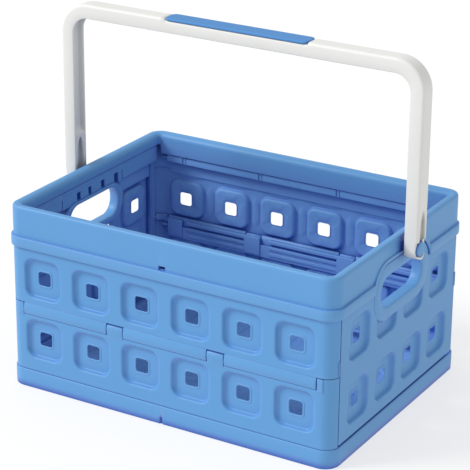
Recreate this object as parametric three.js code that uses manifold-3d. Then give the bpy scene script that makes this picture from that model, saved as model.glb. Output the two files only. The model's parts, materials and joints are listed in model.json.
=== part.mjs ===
// Collapsible storage crate with a swinging bail handle. Millimetres, +Z up.
// The origin is the middle of the footprint on the surface the crate stands on.
// X runs along the long sides, and the front long side faces -Y.
import * as THREE from 'three';
import { mergeVertices } from 'three/addons/utils/BufferGeometryUtils.js';
import Module from 'manifold-3d';

const wasm = await Module();
wasm.setup();

// ---------------------------------------------------------------- driving dimensions
const LENGTH = 418.4;          // across the outer faces of the two end walls
const DEPTH = 310.8;           // across the outer faces of the two long walls
const HEIGHT = 220.4;          // floor to the top of the rim
const CORNER_R = 17;           // outer corner radius in plan
const SKIN = 2.5;              // moulded wall thickness

const LIP_TOP = 22.1;          // top of the tray's outer lip
const LIP_PROUD = 1.4;         // lip stands out from the walls by this much
const LIP_SKIN = 3;
const FLOOR_LOW = 4;           // underside of the tray's floor, above the ring it stands on
const FLOOR_SKIN = 2.5;

const BAND_LOW = 172.3;        // lower edge of the rim
const BAND_TOP = 184.6;        // top of the thicker band around the rim
const BAND_PROUD = 2.7;
const RIM_WIDTH = 13;          // width of the rim's top face
const SKIRT_LOW = 195.5;       // inner skirt on the long sides
const END_SKIRT_LOW = 209.5;   // inner skirt at the ends, above the swinging end walls

const PITCH = 65;              // spacing of the square dishes
const ROW_LOW = 62.3;          // height of the lower row of dishes
const ROW_HIGH = 137;          // height of the upper row
const DISH = 51;               // dish width at the wall's face
const DISH_FLOOR = 43;         // dish width at its floor
const DISH_DEPTH = 4.4;
const DISH_R = 12;
const HOLE = 16.5;             // square window in each dish
const LONG_COLUMNS = [-2.5, -1.5, -0.5, 0.5, 1.5, 2.5];
const END_COLUMNS = [-1.5, -0.5, 0.5, 1.5];

const SEAM = 141;              // where the corner posts stop and the end walls begin
const SEAM_GAP = 0.7;
const FIT_GAP = 0.4;

const MID_AXIS = { out: 148.8, z: 98 };      // middle hinge of the long walls
const MID_R = 6.4;
const MID_LOW = 91.2;          // the upper wall starts here between the lower wall's tabs
const MID_HIGH = 105.6;        // top of the lower wall's tabs and corner posts
const TAB_X = 65;              // tabs of the lower wall stand at plus and minus this
const TAB_WIDTH = 20.8;
const POST_X = 190.5;          // the corner posts start here
const BASE_AXIS = { out: 147.2, z: 16 };     // hinge between the tray and the long walls
const RIM_AXIS = { out: 147.2, z: 188.5 };   // hinge between the rim and the long walls
const LONG_HINGE_R = 5;
const SLOT_CUT = 8;            // half size of the slots cut in a hinge for the lugs
const END_AXIS = { out: 202.2, z: 201 };     // hinge between the rim and the end walls
const END_HINGE_R = 4;
const ROD_R = 1.7;
const BORE_R = 2.05;
const LONG_HINGE_HALF = 196;   // half length of the long walls' hinges at the tray and the rim
const MID_HINGE_HALF = 203;    // half length of the middle hinge
const END_ROD_HALF = 140;
const WEB_IN = 2.1;            // a hinge's web lies between these, inwards of its axis
const WEB_OUT = 4.6;
const LUG_DROP = 4.6;          // a lug of the rim reaches this far below its axis
const WINDOW_R = 4;            // corner radius of a dish's window
const LUG = 4;                 // thickness of a hinge lug
const PAD_DEEPER = 2.1;        // the pad stands this much deeper than the dish
const PAD_SKIN = 1.7;          // a dish's pad on the inside is wider than the dish by this on each side
const BASE_LUGS = [-150, -50, 50, 150];
const RIM_LUGS = [-161.5, -53, 53, 161.5];
const END_LUGS = [-124, -88, 88, 124];

const GRIP_Z = 164;            // middle of the hand hole
const GRIP_HOLE = { half: 50, high: 18, r: 17 };
const GRIP_COLLAR = { half: 66, low: 132.5, top: 196.8, r: 29 };
const GRIP_OUT = 209.8;        // outer face of the grip's collar
const GRIP_IN = 196.2;         // inner face of the grip's collar
const ARCH_GAP = 2.2;          // clearance of the rim's arch around that collar

const PIVOT_Z = 206;           // handle pivot
const PIVOT_R = 5.4;
const PIVOT_BORE_R = 5.8;
const PIVOT_END = 227;
const LEG_IN = 215;            // inner face of the handle's legs
const LEG_OUT = 231.6;
const BAR_LOW = 402.4;
const BAR_TOP = 418.9;
const LEG_WIDTH = 22.8;
const BAIL_R = 36;             // outer radius of the handle's corners
const INSERT_HALF = 90.5;
const INSERT_WIDTH = 17;
const INSERT_DEPTH = 3;
const INSERT_R = 3;            // corner radius of the insert in plan
const SLOT_HEIGHT = 38;        // slot over the pivot in each leg's outer face
const SLOT_DEPTH = 8;

// Reach of the cutting blocks, past everything they cut.
const PAST = 250;
const OVERLAP = 0.2;           // a hollow starts this far above the face it is cut from

const BLUE = { color: 0x6fa3d8, roughness: 0.42, metalness: 0 };
const WHITE = { color: 0xf0f0ee, roughness: 0.38, metalness: 0 };
const GRIP_BLUE = { color: 0x5a96d2, roughness: 0.5, metalness: 0 };

// ---------------------------------------------------------------- solids
function solid(geometry) {
  const bare = geometry.index ? geometry.toNonIndexed() : geometry.clone();
  bare.deleteAttribute('normal');
  bare.deleteAttribute('uv');
  const merged = mergeVertices(bare, 1e-4);
  return new wasm.Manifold(new wasm.Mesh({
    numProp: 3,
    vertProperties: new Float32Array(merged.attributes.position.array),
    triVerts: new Uint32Array(merged.index.array),
  }));
}

function toGeometry(manifold) {
  const mesh = manifold.getMesh();
  const geometry = new THREE.BufferGeometry();
  geometry.setAttribute('position', new THREE.BufferAttribute(mesh.vertProperties, 3));
  geometry.setIndex(new THREE.BufferAttribute(mesh.triVerts, 1));
  geometry.computeVertexNormals();
  return geometry;
}

function box(x0, x1, y0, y1, z0, z1) {
  const geometry = new THREE.BoxGeometry(x1 - x0, y1 - y0, z1 - z0);
  geometry.translate((x0 + x1) / 2, (y0 + y1) / 2, (z0 + z1) / 2);
  return solid(geometry);
}

// A round bar along X or Y, from a to b.
function barAlong(direction, a, b, across, z, radius, sides = 12) {
  const geometry = new THREE.CylinderGeometry(radius, radius, b - a, sides);
  if (direction === 'x') {
    geometry.rotateZ(-Math.PI / 2);
    geometry.translate((a + b) / 2, across, z);
  } else {
    geometry.translate(across, (a + b) / 2, z);
  }
  return solid(geometry);
}

// The corner points of a rectangle with rounded corners.
function roundedPoints(width, height, radius, steps) {
  const points = [];
  const corners = [[1, 1], [-1, 1], [-1, -1], [1, -1]];
  corners.forEach(([sx, sy], quarter) => {
    for (let i = 0; i <= steps; i++) {
      const angle = (quarter + i / steps) * Math.PI / 2;
      points.push(new THREE.Vector2(
        sx * (width / 2 - radius) + radius * Math.cos(angle),
        sy * (height / 2 - radius) + radius * Math.sin(angle),
      ));
    }
  });
  return points;
}

function plate(points, z0, z1) {
  const geometry = new THREE.ExtrudeGeometry(new THREE.Shape(points), {
    depth: z1 - z0, bevelEnabled: false, steps: 1,
  });
  geometry.translate(0, 0, z0);
  return solid(geometry);
}

// A wall that runs all round the crate: out is how far its outer face stands out from the walls.
function ring(out, thickness, z0, z1, steps = 6) {
  const outer = plate(roundedPoints(LENGTH + 2 * out, DEPTH + 2 * out, CORNER_R + out, steps), z0, z1);
  const within = out - thickness;
  const inner = plate(
    roundedPoints(LENGTH + 2 * within, DEPTH + 2 * within, Math.max(CORNER_R + within, 3), steps),
    z0 - 1, z1 + 1,
  );
  return outer.subtract(inner);
}

// A tapered square plug with rounded corners: wide at height 0, narrower at -depth.
function taperedPlug(wide, narrow, radius, depth, steps = 1) {
  const top = roundedPoints(wide, wide, radius, steps);
  const bottom = roundedPoints(narrow, narrow, radius * narrow / wide, steps);
  const count = top.length;
  const position = [];
  top.forEach((p) => position.push(p.x, p.y, 0));
  bottom.forEach((p) => position.push(p.x, p.y, -depth));
  position.push(0, 0, 0, 0, 0, -depth);
  const index = [];
  for (let i = 0; i < count; i++) {
    const j = (i + 1) % count;
    index.push(i, count + i, count + j, i, count + j, j);
    index.push(2 * count, i, j);
    index.push(2 * count + 1, count + j, count + i);
  }
  const geometry = new THREE.BufferGeometry();
  geometry.setAttribute('position', new THREE.Float32BufferAttribute(position, 3));
  geometry.setIndex(index);
  return geometry;
}

// Places a shape drawn flat, facing +Z, on the front (-Y) or right (+X) face.
function onFront(geometry, x, z, out) {
  geometry.rotateX(Math.PI / 2);
  geometry.translate(x, -out, z);
  return solid(geometry);
}

function onRight(geometry, y, z, out) {
  geometry.rotateX(Math.PI / 2);
  geometry.rotateZ(Math.PI / 2);
  geometry.translate(out, y, z);
  return solid(geometry);
}

// Adds each dish's raised pad on the inside, then cuts its hollow and its window.
function dishes(wall, columns, row, place, face) {
  let result = wall;
  columns.forEach((column) => {
    const along = column * PITCH;
    const pad = taperedPlug(DISH + 2 * PAD_SKIN, DISH_FLOOR + 2 * PAD_SKIN, DISH_R, DISH_DEPTH + PAD_DEEPER);
    result = result.add(place(pad, along, row, face - OVERLAP));
  });
  columns.forEach((column) => {
    const along = column * PITCH;
    const hollow = taperedPlug(DISH + 2 * OVERLAP, DISH_FLOOR, DISH_R, DISH_DEPTH + OVERLAP);
    const window = taperedPlug(HOLE, HOLE, WINDOW_R, 3 * DISH_DEPTH);
    result = result.subtract(place(hollow, along, row, face + OVERLAP));
    result = result.subtract(place(window, along, row, face + OVERLAP));
  });
  return result;
}

// ---------------------------------------------------------------- tray
function trayLug(x) {
  const lug = box(x - LUG / 2, x + LUG / 2, -DEPTH / 2 + 1.2, -DEPTH / 2 + 12.4,
    FLOOR_LOW + 1, BASE_AXIS.z + LONG_HINGE_R);
  const bore = barAlong('x', x - LUG, x + LUG, -BASE_AXIS.out, BASE_AXIS.z, BORE_R, 8);
  return lug.subtract(bore);
}

function baseTray() {
  const plan = roundedPoints(LENGTH - 4, DEPTH - 4, CORNER_R - 2, 6);
  let tray = ring(LIP_PROUD, LIP_SKIN, 0, LIP_TOP).add(plate(plan, FLOOR_LOW, FLOOR_LOW + FLOOR_SKIN));
  tray = tray.add(ring(-9, SKIN, 0, FLOOR_LOW + 1));
  BASE_LUGS.forEach((x) => {
    const lug = trayLug(x);
    tray = tray.add(lug).add(lug.mirror([0, 1, 0]));
  });
  return tray;
}

// ---------------------------------------------------------------- long walls
function slots(centres, width, axis) {
  return centres.map((x) => box(
    x - width / 2, x + width / 2, -axis.out - SLOT_CUT, -axis.out + SLOT_CUT,
    axis.z - SLOT_CUT, axis.z + SLOT_CUT - 1,
  ));
}

function hingeStrip(axis, webLow, webHigh) {
  const half = LONG_HINGE_HALF;
  const barrel = barAlong('x', -half, half, -axis.out, axis.z, LONG_HINGE_R, 12);
  const web = box(-half, half, -axis.out - WEB_OUT, -axis.out - WEB_IN, webLow, webHigh);
  return barrel.add(web);
}

// Joins a hinge's web to the wall that it hangs from.
function hingeStep(axis, z0, z1) {
  const half = LONG_HINGE_HALF;
  return box(-half, half, -DEPTH / 2 + SKIN - 0.3, -axis.out - WEB_IN, z0, z1);
}

function frontPost(z0, z1) {
  const seam = SEAM + SEAM_GAP / 2;
  return ring(0, SKIN, z0, z1).intersect(box(-PAST, PAST, -PAST, -seam, z0 - 1, z1 + 1));
}

function tabBoxes(extra) {
  return [-TAB_X, TAB_X].map((x) => box(
    x - TAB_WIDTH / 2 - extra, x + TAB_WIDTH / 2 + extra, -PAST, -SEAM + 20, MID_LOW - 5, MID_HIGH + extra,
  ));
}

function endBoxes(extra) {
  return [-1, 1].map((side) => {
    const near = side * (POST_X - extra);
    const far = side * PAST;
    return box(Math.min(near, far), Math.max(near, far), -PAST, -SEAM + 20, MID_LOW - 5, MID_HIGH + extra);
  });
}

// The barrel is trimmed to the crate's plan, so that its ends follow the rounded corners.
function midBarrel() {
  const plan = plate(roundedPoints(LENGTH, DEPTH, CORNER_R, 6), MID_LOW - 5, MID_HIGH + 5);
  return barAlong('x', -MID_HINGE_HALF, MID_HINGE_HALF, -MID_AXIS.out, MID_AXIS.z, MID_R, 12).intersect(plan);
}

// The hole for a long hinge's rod, or the rod itself, along an axis of the front wall.
function rodAlong(axis, half, radius) {
  return barAlong('x', -half, half, -axis.out, axis.z, radius, 8);
}

function frontLower() {
  let knuckles = frontPost(MID_LOW - 5, MID_HIGH).add(midBarrel());
  const keep = tabBoxes(0).concat(endBoxes(0)).reduce((all, part) => all.add(part));
  knuckles = knuckles.intersect(keep);
  const gap = FIT_GAP;
  let wall = frontPost(LIP_TOP + gap, MID_LOW - gap).add(knuckles);
  wall = wall.add(hingeStrip(BASE_AXIS, BASE_AXIS.z, LIP_TOP + 4));
  wall = wall.add(hingeStep(BASE_AXIS, LIP_TOP + gap, LIP_TOP + 4));
  slots(BASE_LUGS, LUG + 2 * gap, BASE_AXIS).forEach((slot) => {
    wall = wall.subtract(slot.intersect(box(-PAST, PAST, -PAST, 0, 0, BASE_AXIS.z + LONG_HINGE_R + gap)));
  });
  wall = wall.subtract(rodAlong(BASE_AXIS, LONG_HINGE_HALF + 1, BORE_R));
  wall = wall.subtract(rodAlong(MID_AXIS, LONG_HINGE_HALF + 1, BORE_R));
  return dishes(wall, LONG_COLUMNS, ROW_LOW, onFront, DEPTH / 2);
}

function frontUpper() {
  const gap = FIT_GAP;
  const top = BAND_LOW - gap;
  const cuts = tabBoxes(gap).concat(endBoxes(gap)).reduce((all, part) => all.add(part));
  let wall = frontPost(MID_LOW, top).add(midBarrel()).subtract(cuts);
  wall = wall.add(hingeStrip(RIM_AXIS, top - 4, RIM_AXIS.z));
  wall = wall.add(hingeStep(RIM_AXIS, top - 4, top));
  slots(RIM_LUGS, LUG + 2 * gap, RIM_AXIS).forEach((slot) => {
    wall = wall.subtract(slot);
  });
  wall = wall.subtract(rodAlong(RIM_AXIS, LONG_HINGE_HALF + 1, BORE_R));
  wall = wall.subtract(rodAlong(MID_AXIS, LONG_HINGE_HALF + 1, BORE_R));
  return dishes(wall, LONG_COLUMNS, ROW_HIGH, onFront, DEPTH / 2);
}

// ---------------------------------------------------------------- end walls
// Outline of the grip's collar or of its clearance, drawn in Y and Z about the collar's middle.
function gripOutline(grow, steps) {
  const { half, low, top, r } = GRIP_COLLAR;
  return roundedPoints(2 * (half + grow), top - low + 2 * grow, r + grow, steps);
}

function gripPlug(points, from, to) {
  const geometry = new THREE.ExtrudeGeometry(new THREE.Shape(points), {
    depth: to - from, bevelEnabled: false, steps: 1,
  });
  geometry.translate(0, 0, -(to - from));
  return geometry;
}

function gripCollar(grow, from, to, steps = 6) {
  const middle = (GRIP_COLLAR.low + GRIP_COLLAR.top) / 2;
  return onRight(gripPlug(gripOutline(grow, steps), from, to), 0, middle, to);
}

function rightEnd() {
  const gap = FIT_GAP;
  const half = SEAM - SEAM_GAP / 2;
  const face = LENGTH / 2;
  const foot = LIP_TOP + gap;
  const top = BAND_LOW - gap;
  const inner = face - SKIN;
  let wall = box(inner, face, -half, half, foot, top);
  wall = dishes(wall, END_COLUMNS, ROW_LOW, onRight, face);
  wall = dishes(wall, END_COLUMNS, ROW_HIGH, onRight, face);
  // An inner leaf carries the wall up behind the rim to its hinge, and a tongue stops it at the tray.
  const leaf = inner - 0.3;
  wall = wall.add(box(inner - 3, inner + 0.1, -half, half, top - 4, top));
  wall = wall.add(box(inner - 3, leaf, -half, half, top - 4, END_AXIS.z));
  wall = wall.add(barAlong('y', -half, half, END_AXIS.out, END_AXIS.z, END_HINGE_R, 12));
  wall = wall.add(box(inner - 3, inner + 0.1, -half + 8, half - 8, foot, foot + 4));
  wall = wall.add(box(inner - 3, leaf, -half + 8, half - 8, foot - 6, foot + 4));
  const clear = GRIP_COLLAR.half - 4;
  wall = wall.subtract(box(inner - 20, GRIP_OUT, -clear, clear, GRIP_Z + 20, HEIGHT));
  END_LUGS.forEach((y) => {
    const low = END_AXIS.z - LUG_DROP - 2 * gap;
    wall = wall.subtract(box(inner - 20, GRIP_OUT, y - LUG / 2 - gap, y + LUG / 2 + gap, low, HEIGHT));
  });
  wall = wall.subtract(barAlong('y', -half - 1, half + 1, END_AXIS.out, END_AXIS.z, BORE_R, 8));
  wall = wall.add(gripCollar(0, GRIP_IN, GRIP_OUT));
  const hole = roundedPoints(2 * GRIP_HOLE.half, 2 * GRIP_HOLE.high, GRIP_HOLE.r, 5);
  return wall.subtract(onRight(gripPlug(hole, GRIP_IN - 5, GRIP_OUT + 5), 0, GRIP_Z, GRIP_OUT + 5));
}

// ---------------------------------------------------------------- rim
function longRimLug(x) {
  const lug = box(
    x - LUG / 2, x + LUG / 2, -RIM_AXIS.out - WEB_OUT, -RIM_AXIS.out + LONG_HINGE_R,
    RIM_AXIS.z - LUG_DROP, HEIGHT - 1,
  );
  return lug.subtract(barAlong('x', x - LUG, x + LUG, -RIM_AXIS.out, RIM_AXIS.z, BORE_R, 8));
}

function endRimLug(y) {
  const lug = box(
    END_AXIS.out - 3.6, LENGTH / 2 - SKIN + 0.2, y - LUG / 2, y + LUG / 2,
    END_AXIS.z - LUG_DROP, HEIGHT - 1,
  );
  return lug.subtract(barAlong('y', y - LUG, y + LUG, END_AXIS.out, END_AXIS.z, BORE_R, 8));
}

function rim() {
  let frame = ring(0, SKIN, BAND_LOW, HEIGHT).add(ring(BAND_PROUD, BAND_PROUD + 1, BAND_LOW, BAND_TOP));
  frame = frame.add(ring(0, RIM_WIDTH, HEIGHT - SKIN, HEIGHT));
  frame = frame.add(ring(SKIN - RIM_WIDTH, SKIN, SKIRT_LOW, HEIGHT));
  const endStrip = SEAM + 1;
  const strip = box(-END_AXIS.out, END_AXIS.out, -endStrip, endStrip, SKIRT_LOW - 1, END_SKIRT_LOW);
  frame = frame.subtract(strip);
  RIM_LUGS.forEach((x) => {
    const lug = longRimLug(x);
    frame = frame.add(lug).add(lug.mirror([0, 1, 0]));
  });
  END_LUGS.forEach((y) => {
    const lug = endRimLug(y);
    frame = frame.add(lug).add(lug.mirror([1, 0, 0]));
  });
  const arch = gripCollar(ARCH_GAP, LENGTH / 2 - 6, LENGTH / 2 + 6);
  const boss = barAlong('x', LENGTH / 2 - SKIN, PIVOT_END, 0, PIVOT_Z, PIVOT_R, 16);
  frame = frame.subtract(arch).subtract(arch.mirror([1, 0, 0]));
  return frame.add(boss).add(boss.mirror([1, 0, 0]));
}

// ---------------------------------------------------------------- handle
function sideOutline(halfWidth, top, radius, foot) {
  const shape = new THREE.Shape();
  shape.moveTo(-halfWidth, foot);
  shape.lineTo(halfWidth, foot);
  shape.lineTo(halfWidth, top - radius);
  shape.absarc(halfWidth - radius, top - radius, radius, 0, Math.PI / 2);
  shape.lineTo(-halfWidth + radius, top);
  shape.absarc(-halfWidth + radius, top - radius, radius, Math.PI / 2, Math.PI);
  return shape;
}

function acrossDepth(shape, half) {
  const geometry = new THREE.ExtrudeGeometry(shape, { depth: 2 * half, bevelEnabled: false, curveSegments: 8 });
  geometry.rotateX(Math.PI / 2);
  geometry.translate(0, half, 0);
  return solid(geometry);
}

function handleBail() {
  const half = LEG_WIDTH / 2;
  const thickness = LEG_OUT - LEG_IN;
  const outer = acrossDepth(sideOutline(LEG_OUT, BAR_TOP, BAIL_R, PIVOT_Z - half), half);
  const inner = acrossDepth(
    sideOutline(LEG_IN, BAR_LOW, BAIL_R - thickness, PIVOT_Z - half - 20), half + 5,
  );
  // Seen from the side each leg ends in a half circle about the pivot.
  const side = new THREE.Shape();
  side.moveTo(half, BAR_TOP + 5);
  side.lineTo(-half, BAR_TOP + 5);
  side.lineTo(-half, PIVOT_Z);
  side.absarc(0, PIVOT_Z, half, Math.PI, 2 * Math.PI);
  const profile = new THREE.ExtrudeGeometry(side, { depth: 2 * PAST, bevelEnabled: false, curveSegments: 12 });
  profile.rotateX(Math.PI / 2);
  profile.rotateZ(Math.PI / 2);
  profile.translate(-PAST, 0, 0);
  let bail = outer.subtract(inner).intersect(solid(profile));
  bail = bail.subtract(barAlong('x', -PAST, PAST, 0, PIVOT_Z, PIVOT_BORE_R, 16));
  // A slot in each leg's outer face, above the pivot, lets the boss snap in.
  const slot = box(
    LEG_OUT - SLOT_DEPTH, LEG_OUT + 5, -PIVOT_BORE_R, PIVOT_BORE_R, PIVOT_Z, PIVOT_Z + SLOT_HEIGHT,
  );
  bail = bail.subtract(slot).subtract(slot.mirror([1, 0, 0]));
  const low = BAR_TOP - INSERT_DEPTH;
  const pocket = INSERT_WIDTH / 2 + 0.3;
  return bail.subtract(box(-INSERT_HALF - 0.3, INSERT_HALF + 0.3, -pocket, pocket, low, BAR_TOP + 5));
}

function gripInsert() {
  const points = roundedPoints(2 * INSERT_HALF, INSERT_WIDTH, INSERT_R, 3);
  return plate(points, BAR_TOP - INSERT_DEPTH + 0.3, BAR_TOP + 0.6);
}

// ---------------------------------------------------------------- assembly
const group = new THREE.Group();

function addPart(name, manifold, look) {
  const mesh = new THREE.Mesh(toGeometry(manifold), new THREE.MeshStandardMaterial(look));
  mesh.name = name;
  group.add(mesh);
}

function addFrontAndBack(name, manifold, look) {
  addPart(`front_${name}`, manifold, look);
  addPart(`back_${name}`, manifold.mirror([0, 1, 0]), look);
}

function addRightAndLeft(name, manifold, look) {
  addPart(`right_${name}`, manifold, look);
  addPart(`left_${name}`, manifold.mirror([1, 0, 0]), look);
}

addPart('base_tray', baseTray(), BLUE);
addFrontAndBack('lower_wall', frontLower(), BLUE);
addFrontAndBack('upper_wall', frontUpper(), BLUE);
addRightAndLeft('end_wall', rightEnd(), BLUE);
addPart('rim_frame', rim(), BLUE);
addFrontAndBack('base_hinge_rod', rodAlong(BASE_AXIS, LONG_HINGE_HALF, ROD_R), BLUE);
addFrontAndBack('middle_hinge_rod', rodAlong(MID_AXIS, LONG_HINGE_HALF, ROD_R), BLUE);
addFrontAndBack('rim_hinge_rod', rodAlong(RIM_AXIS, LONG_HINGE_HALF, ROD_R), BLUE);
const endRod = barAlong('y', -END_ROD_HALF, END_ROD_HALF, END_AXIS.out, END_AXIS.z, ROD_R, 8);
addRightAndLeft('end_hinge_rod', endRod, BLUE);
addPart('handle_bail', handleBail(), WHITE);
addPart('grip_insert', gripInsert(), GRIP_BLUE);

export default group;
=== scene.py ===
import json
import math

import bmesh
import bpy
import numpy as np
from mathutils import Matrix, Vector


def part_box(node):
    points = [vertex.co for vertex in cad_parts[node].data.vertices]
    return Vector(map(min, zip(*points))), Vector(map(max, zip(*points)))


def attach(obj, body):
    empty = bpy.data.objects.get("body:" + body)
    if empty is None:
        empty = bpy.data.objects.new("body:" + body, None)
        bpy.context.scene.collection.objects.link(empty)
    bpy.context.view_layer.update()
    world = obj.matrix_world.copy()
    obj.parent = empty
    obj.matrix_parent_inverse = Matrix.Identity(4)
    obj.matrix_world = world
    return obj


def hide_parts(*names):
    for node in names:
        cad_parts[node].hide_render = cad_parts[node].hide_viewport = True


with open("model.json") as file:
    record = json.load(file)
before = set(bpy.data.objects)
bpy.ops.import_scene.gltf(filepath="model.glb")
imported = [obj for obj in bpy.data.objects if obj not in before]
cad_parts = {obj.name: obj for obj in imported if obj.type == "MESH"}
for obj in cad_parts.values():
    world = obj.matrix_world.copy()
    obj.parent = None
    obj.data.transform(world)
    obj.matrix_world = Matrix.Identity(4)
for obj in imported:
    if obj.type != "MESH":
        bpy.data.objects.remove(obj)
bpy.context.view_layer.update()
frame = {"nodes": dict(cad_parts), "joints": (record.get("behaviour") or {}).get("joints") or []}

# ---------------------------------------------------------------- base tray
# The tray that the crate stands on: an outer lip all round, a ring underneath and a floor with a shallow
# pattern. Blue injection-moulded polypropylene. The lip is a closed profile carried round the rounded plan;
# the floor is a height field over the plan.


def node_box(name):
    """Lowest and highest corner of a CAD node, in millimetres."""
    lowest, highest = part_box(name)
    return np.array(lowest) * 1000, np.array(highest) * 1000


def linear(code):
    """sRGB hex to linear RGBA. Up to 0.04045 a channel c becomes c / 12.92, and above that it becomes
    ((c + 0.055) / 1.055) ** 2.4."""
    channels = [int(code[i : i + 2], 16) / 255 for i in (0, 2, 4)]
    return (*[c / 12.92 if c <= 0.04045 else ((c + 0.055) / 1.055) ** 2.4 for c in channels], 1.0)


def add_node(tree, kind, links=(), **values):
    """Adds a shader node, sets its inputs and properties by name, and links (output, input name) pairs."""
    made = tree.nodes.new(kind)
    for key, value in values.items():
        if key in made.inputs:
            made.inputs[key].default_value = value
        else:
            setattr(made, key, value)
    for output, key in links:
        tree.links.new(output, made.inputs[key])
    return made


PLASTIC_IOR = 1.49
PLASTIC_SPECULAR = 0.3
DRIFT_MM = 70
# Painted light and shade by ambient occlusion: reach in metres, and the shares of open surroundings
# from which and to which the painted colour fades out.
PAINTED_BETWEEN_WALLS_AO = (0.45, 0.22, 0.5)
PAINTED_CREASE_AO = (0.014, 0.4, 0.9)


def moulded(name, colour, painted_between_walls, painted_crease_shade, roughness, grain_mm, grain_height_mm, edge_paling):
    """A moulded plastic: fine grain, slow colour drift and slightly paler sharp edges, with light and shade
    painted by ambient occlusion: a painted colour where walls enclose each other (painted light on the blue,
    standing in for light that passes through the thin walls; painted shade on the white and the soft blue),
    and a deeper painted shade in creases."""
    material = bpy.data.materials.new(name)
    material.use_nodes = True
    tree = material.node_tree
    shader = tree.nodes["Principled BSDF"]
    shader.inputs["IOR"].default_value = PLASTIC_IOR
    shader.inputs["Specular IOR Level"].default_value = PLASTIC_SPECULAR
    place = add_node(tree, "ShaderNodeTexCoord").outputs["Object"]
    grain = add_node(
        tree, "ShaderNodeTexNoise", [(place, "Vector")], Scale=1000 / grain_mm, Detail=4.0, Roughness=0.6
    )
    drift = add_node(
        tree, "ShaderNodeTexNoise", [(place, "Vector")], Scale=1000 / DRIFT_MM, Detail=3.0, Roughness=0.5
    )
    base = linear(colour)
    drifted = add_node(tree, "ShaderNodeMix", [(drift.outputs["Fac"], "Factor")], data_type="RGBA")
    drifted.inputs[6].default_value = (*[0.965 * c for c in base[:3]], 1.0)
    drifted.inputs[7].default_value = (*[min(1.0, 1.03 * c) for c in base[:3]], 1.0)
    # Sharp convex edges turn slightly paler.
    edge = add_node(
        tree,
        "ShaderNodeMapRange",
        [(add_node(tree, "ShaderNodeNewGeometry").outputs["Pointiness"], "Value")],
        **{"From Min": 0.51, "From Max": 0.6, "To Min": 0.0, "To Max": edge_paling},
    )
    edges_paled = add_node(tree, "ShaderNodeMix", [(edge.outputs["Result"], "Factor")], data_type="RGBA")
    tree.links.new(drifted.outputs[2], edges_paled.inputs[6])
    edges_paled.inputs[7].default_value = (*[min(1.0, 0.75 * c + 0.25) for c in base[:3]], 1.0)
    colour_now = edges_paled.outputs[2]
    # Painted light and shade: as less of the surroundings is open, the colour turns to the painted colour
    # between walls, then to the deeper painted shade in creases.
    for (reach, shut, open_from), painted_colour in ((PAINTED_BETWEEN_WALLS_AO, painted_between_walls), (PAINTED_CREASE_AO, painted_crease_shade)):
        around = add_node(tree, "ShaderNodeAmbientOcclusion", samples=8, Distance=reach)
        share = add_node(
            tree,
            "ShaderNodeMapRange",
            [(around.outputs["AO"], "Value")],
            **{"From Min": shut, "From Max": open_from},
        )
        mixed = add_node(tree, "ShaderNodeMix", [(share.outputs["Result"], "Factor")], data_type="RGBA")
        mixed.inputs[6].default_value = linear(painted_colour)
        tree.links.new(colour_now, mixed.inputs[7])
        colour_now = mixed.outputs[2]
    tree.links.new(colour_now, shader.inputs["Base Color"])
    rough = add_node(
        tree,
        "ShaderNodeMapRange",
        [(drift.outputs["Fac"], "Value")],
        **{"To Min": roughness - 0.04, "To Max": roughness + 0.04},
    )
    tree.links.new(rough.outputs["Result"], shader.inputs["Roughness"])
    bump = add_node(
        tree,
        "ShaderNodeBump",
        [(grain.outputs["Fac"], "Height")],
        Distance=grain_height_mm / 1000,
        Strength=0.35,
    )
    tree.links.new(bump.outputs["Normal"], shader.inputs["Normal"])
    return material


def grid_faces(rows, columns, rows_close=False, columns_close=False):
    """The quads that join a grid of points, numbered row by row: point (i, j) is i * columns + j. A closing
    direction joins its last line to its first."""
    i = np.arange(rows if rows_close else rows - 1)[:, None] * columns
    below = np.roll(np.arange(rows) * columns, -1)[: len(i)][:, None]
    j = np.arange(columns if columns_close else columns - 1)
    k = (j + 1) % columns
    return np.stack([i + j, i + k, below + k, below + j], -1).reshape(-1, 4)


MERGE_M = 2e-6
SLIVER_M = 1e-7
BEVEL_FROM = math.radians(50)


def make_piece(name, points, faces, finish, body, slot, stands_for=(), shell_mm=0.0, round_mm=0.0):
    """Builds a mesh piece from points in millimetres. A shell thickness turns an open sheet into a closed
    wall that grows inwards; a rounding bevels its sharp edges."""
    mesh = bpy.data.meshes.new(name)
    mesh.from_pydata((np.asarray(points) / 1000).tolist(), [], [list(map(int, face)) for face in faces])
    build = bmesh.new()
    build.from_mesh(mesh)
    bmesh.ops.remove_doubles(build, verts=build.verts, dist=MERGE_M)
    bmesh.ops.dissolve_degenerate(build, edges=build.edges, dist=SLIVER_M)
    if not shell_mm:
        bmesh.ops.recalc_face_normals(build, faces=build.faces)
    build.to_mesh(mesh)
    build.free()
    mesh.shade_smooth()
    mesh.materials.append(finish)
    piece = bpy.data.objects.new(name, mesh)
    bpy.context.scene.collection.objects.link(piece)
    if shell_mm:
        shell = piece.modifiers.new("wall thickness", "SOLIDIFY")
        shell.thickness = shell_mm / 1000
        shell.offset = -1
        shell.use_even_offset = False
        shell.thickness_clamp = 2
    if round_mm:
        bevel = piece.modifiers.new("rounded edges", "BEVEL")
        bevel.width = round_mm / 1000
        bevel.segments = 2
        bevel.limit_method = "ANGLE"
        bevel.angle_limit = BEVEL_FROM
        piece.modifiers.new("flat faces stay flat", "WEIGHTED_NORMAL").keep_sharp = True
    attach(piece, body)
    if stands_for:
        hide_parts(*stands_for)


def loft(rings, closed=False):
    """Points and faces of a closed surface through rings of points, with flat caps unless it closes."""
    rings = np.asarray(rings, float)
    count, size = rings.shape[:2]
    faces = grid_faces(count, size, rows_close=closed, columns_close=True).tolist()
    if not closed:
        faces += [list(range(size)), list(range((count - 1) * size, count * size))]
    return rings.reshape(-1, 3), faces


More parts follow.
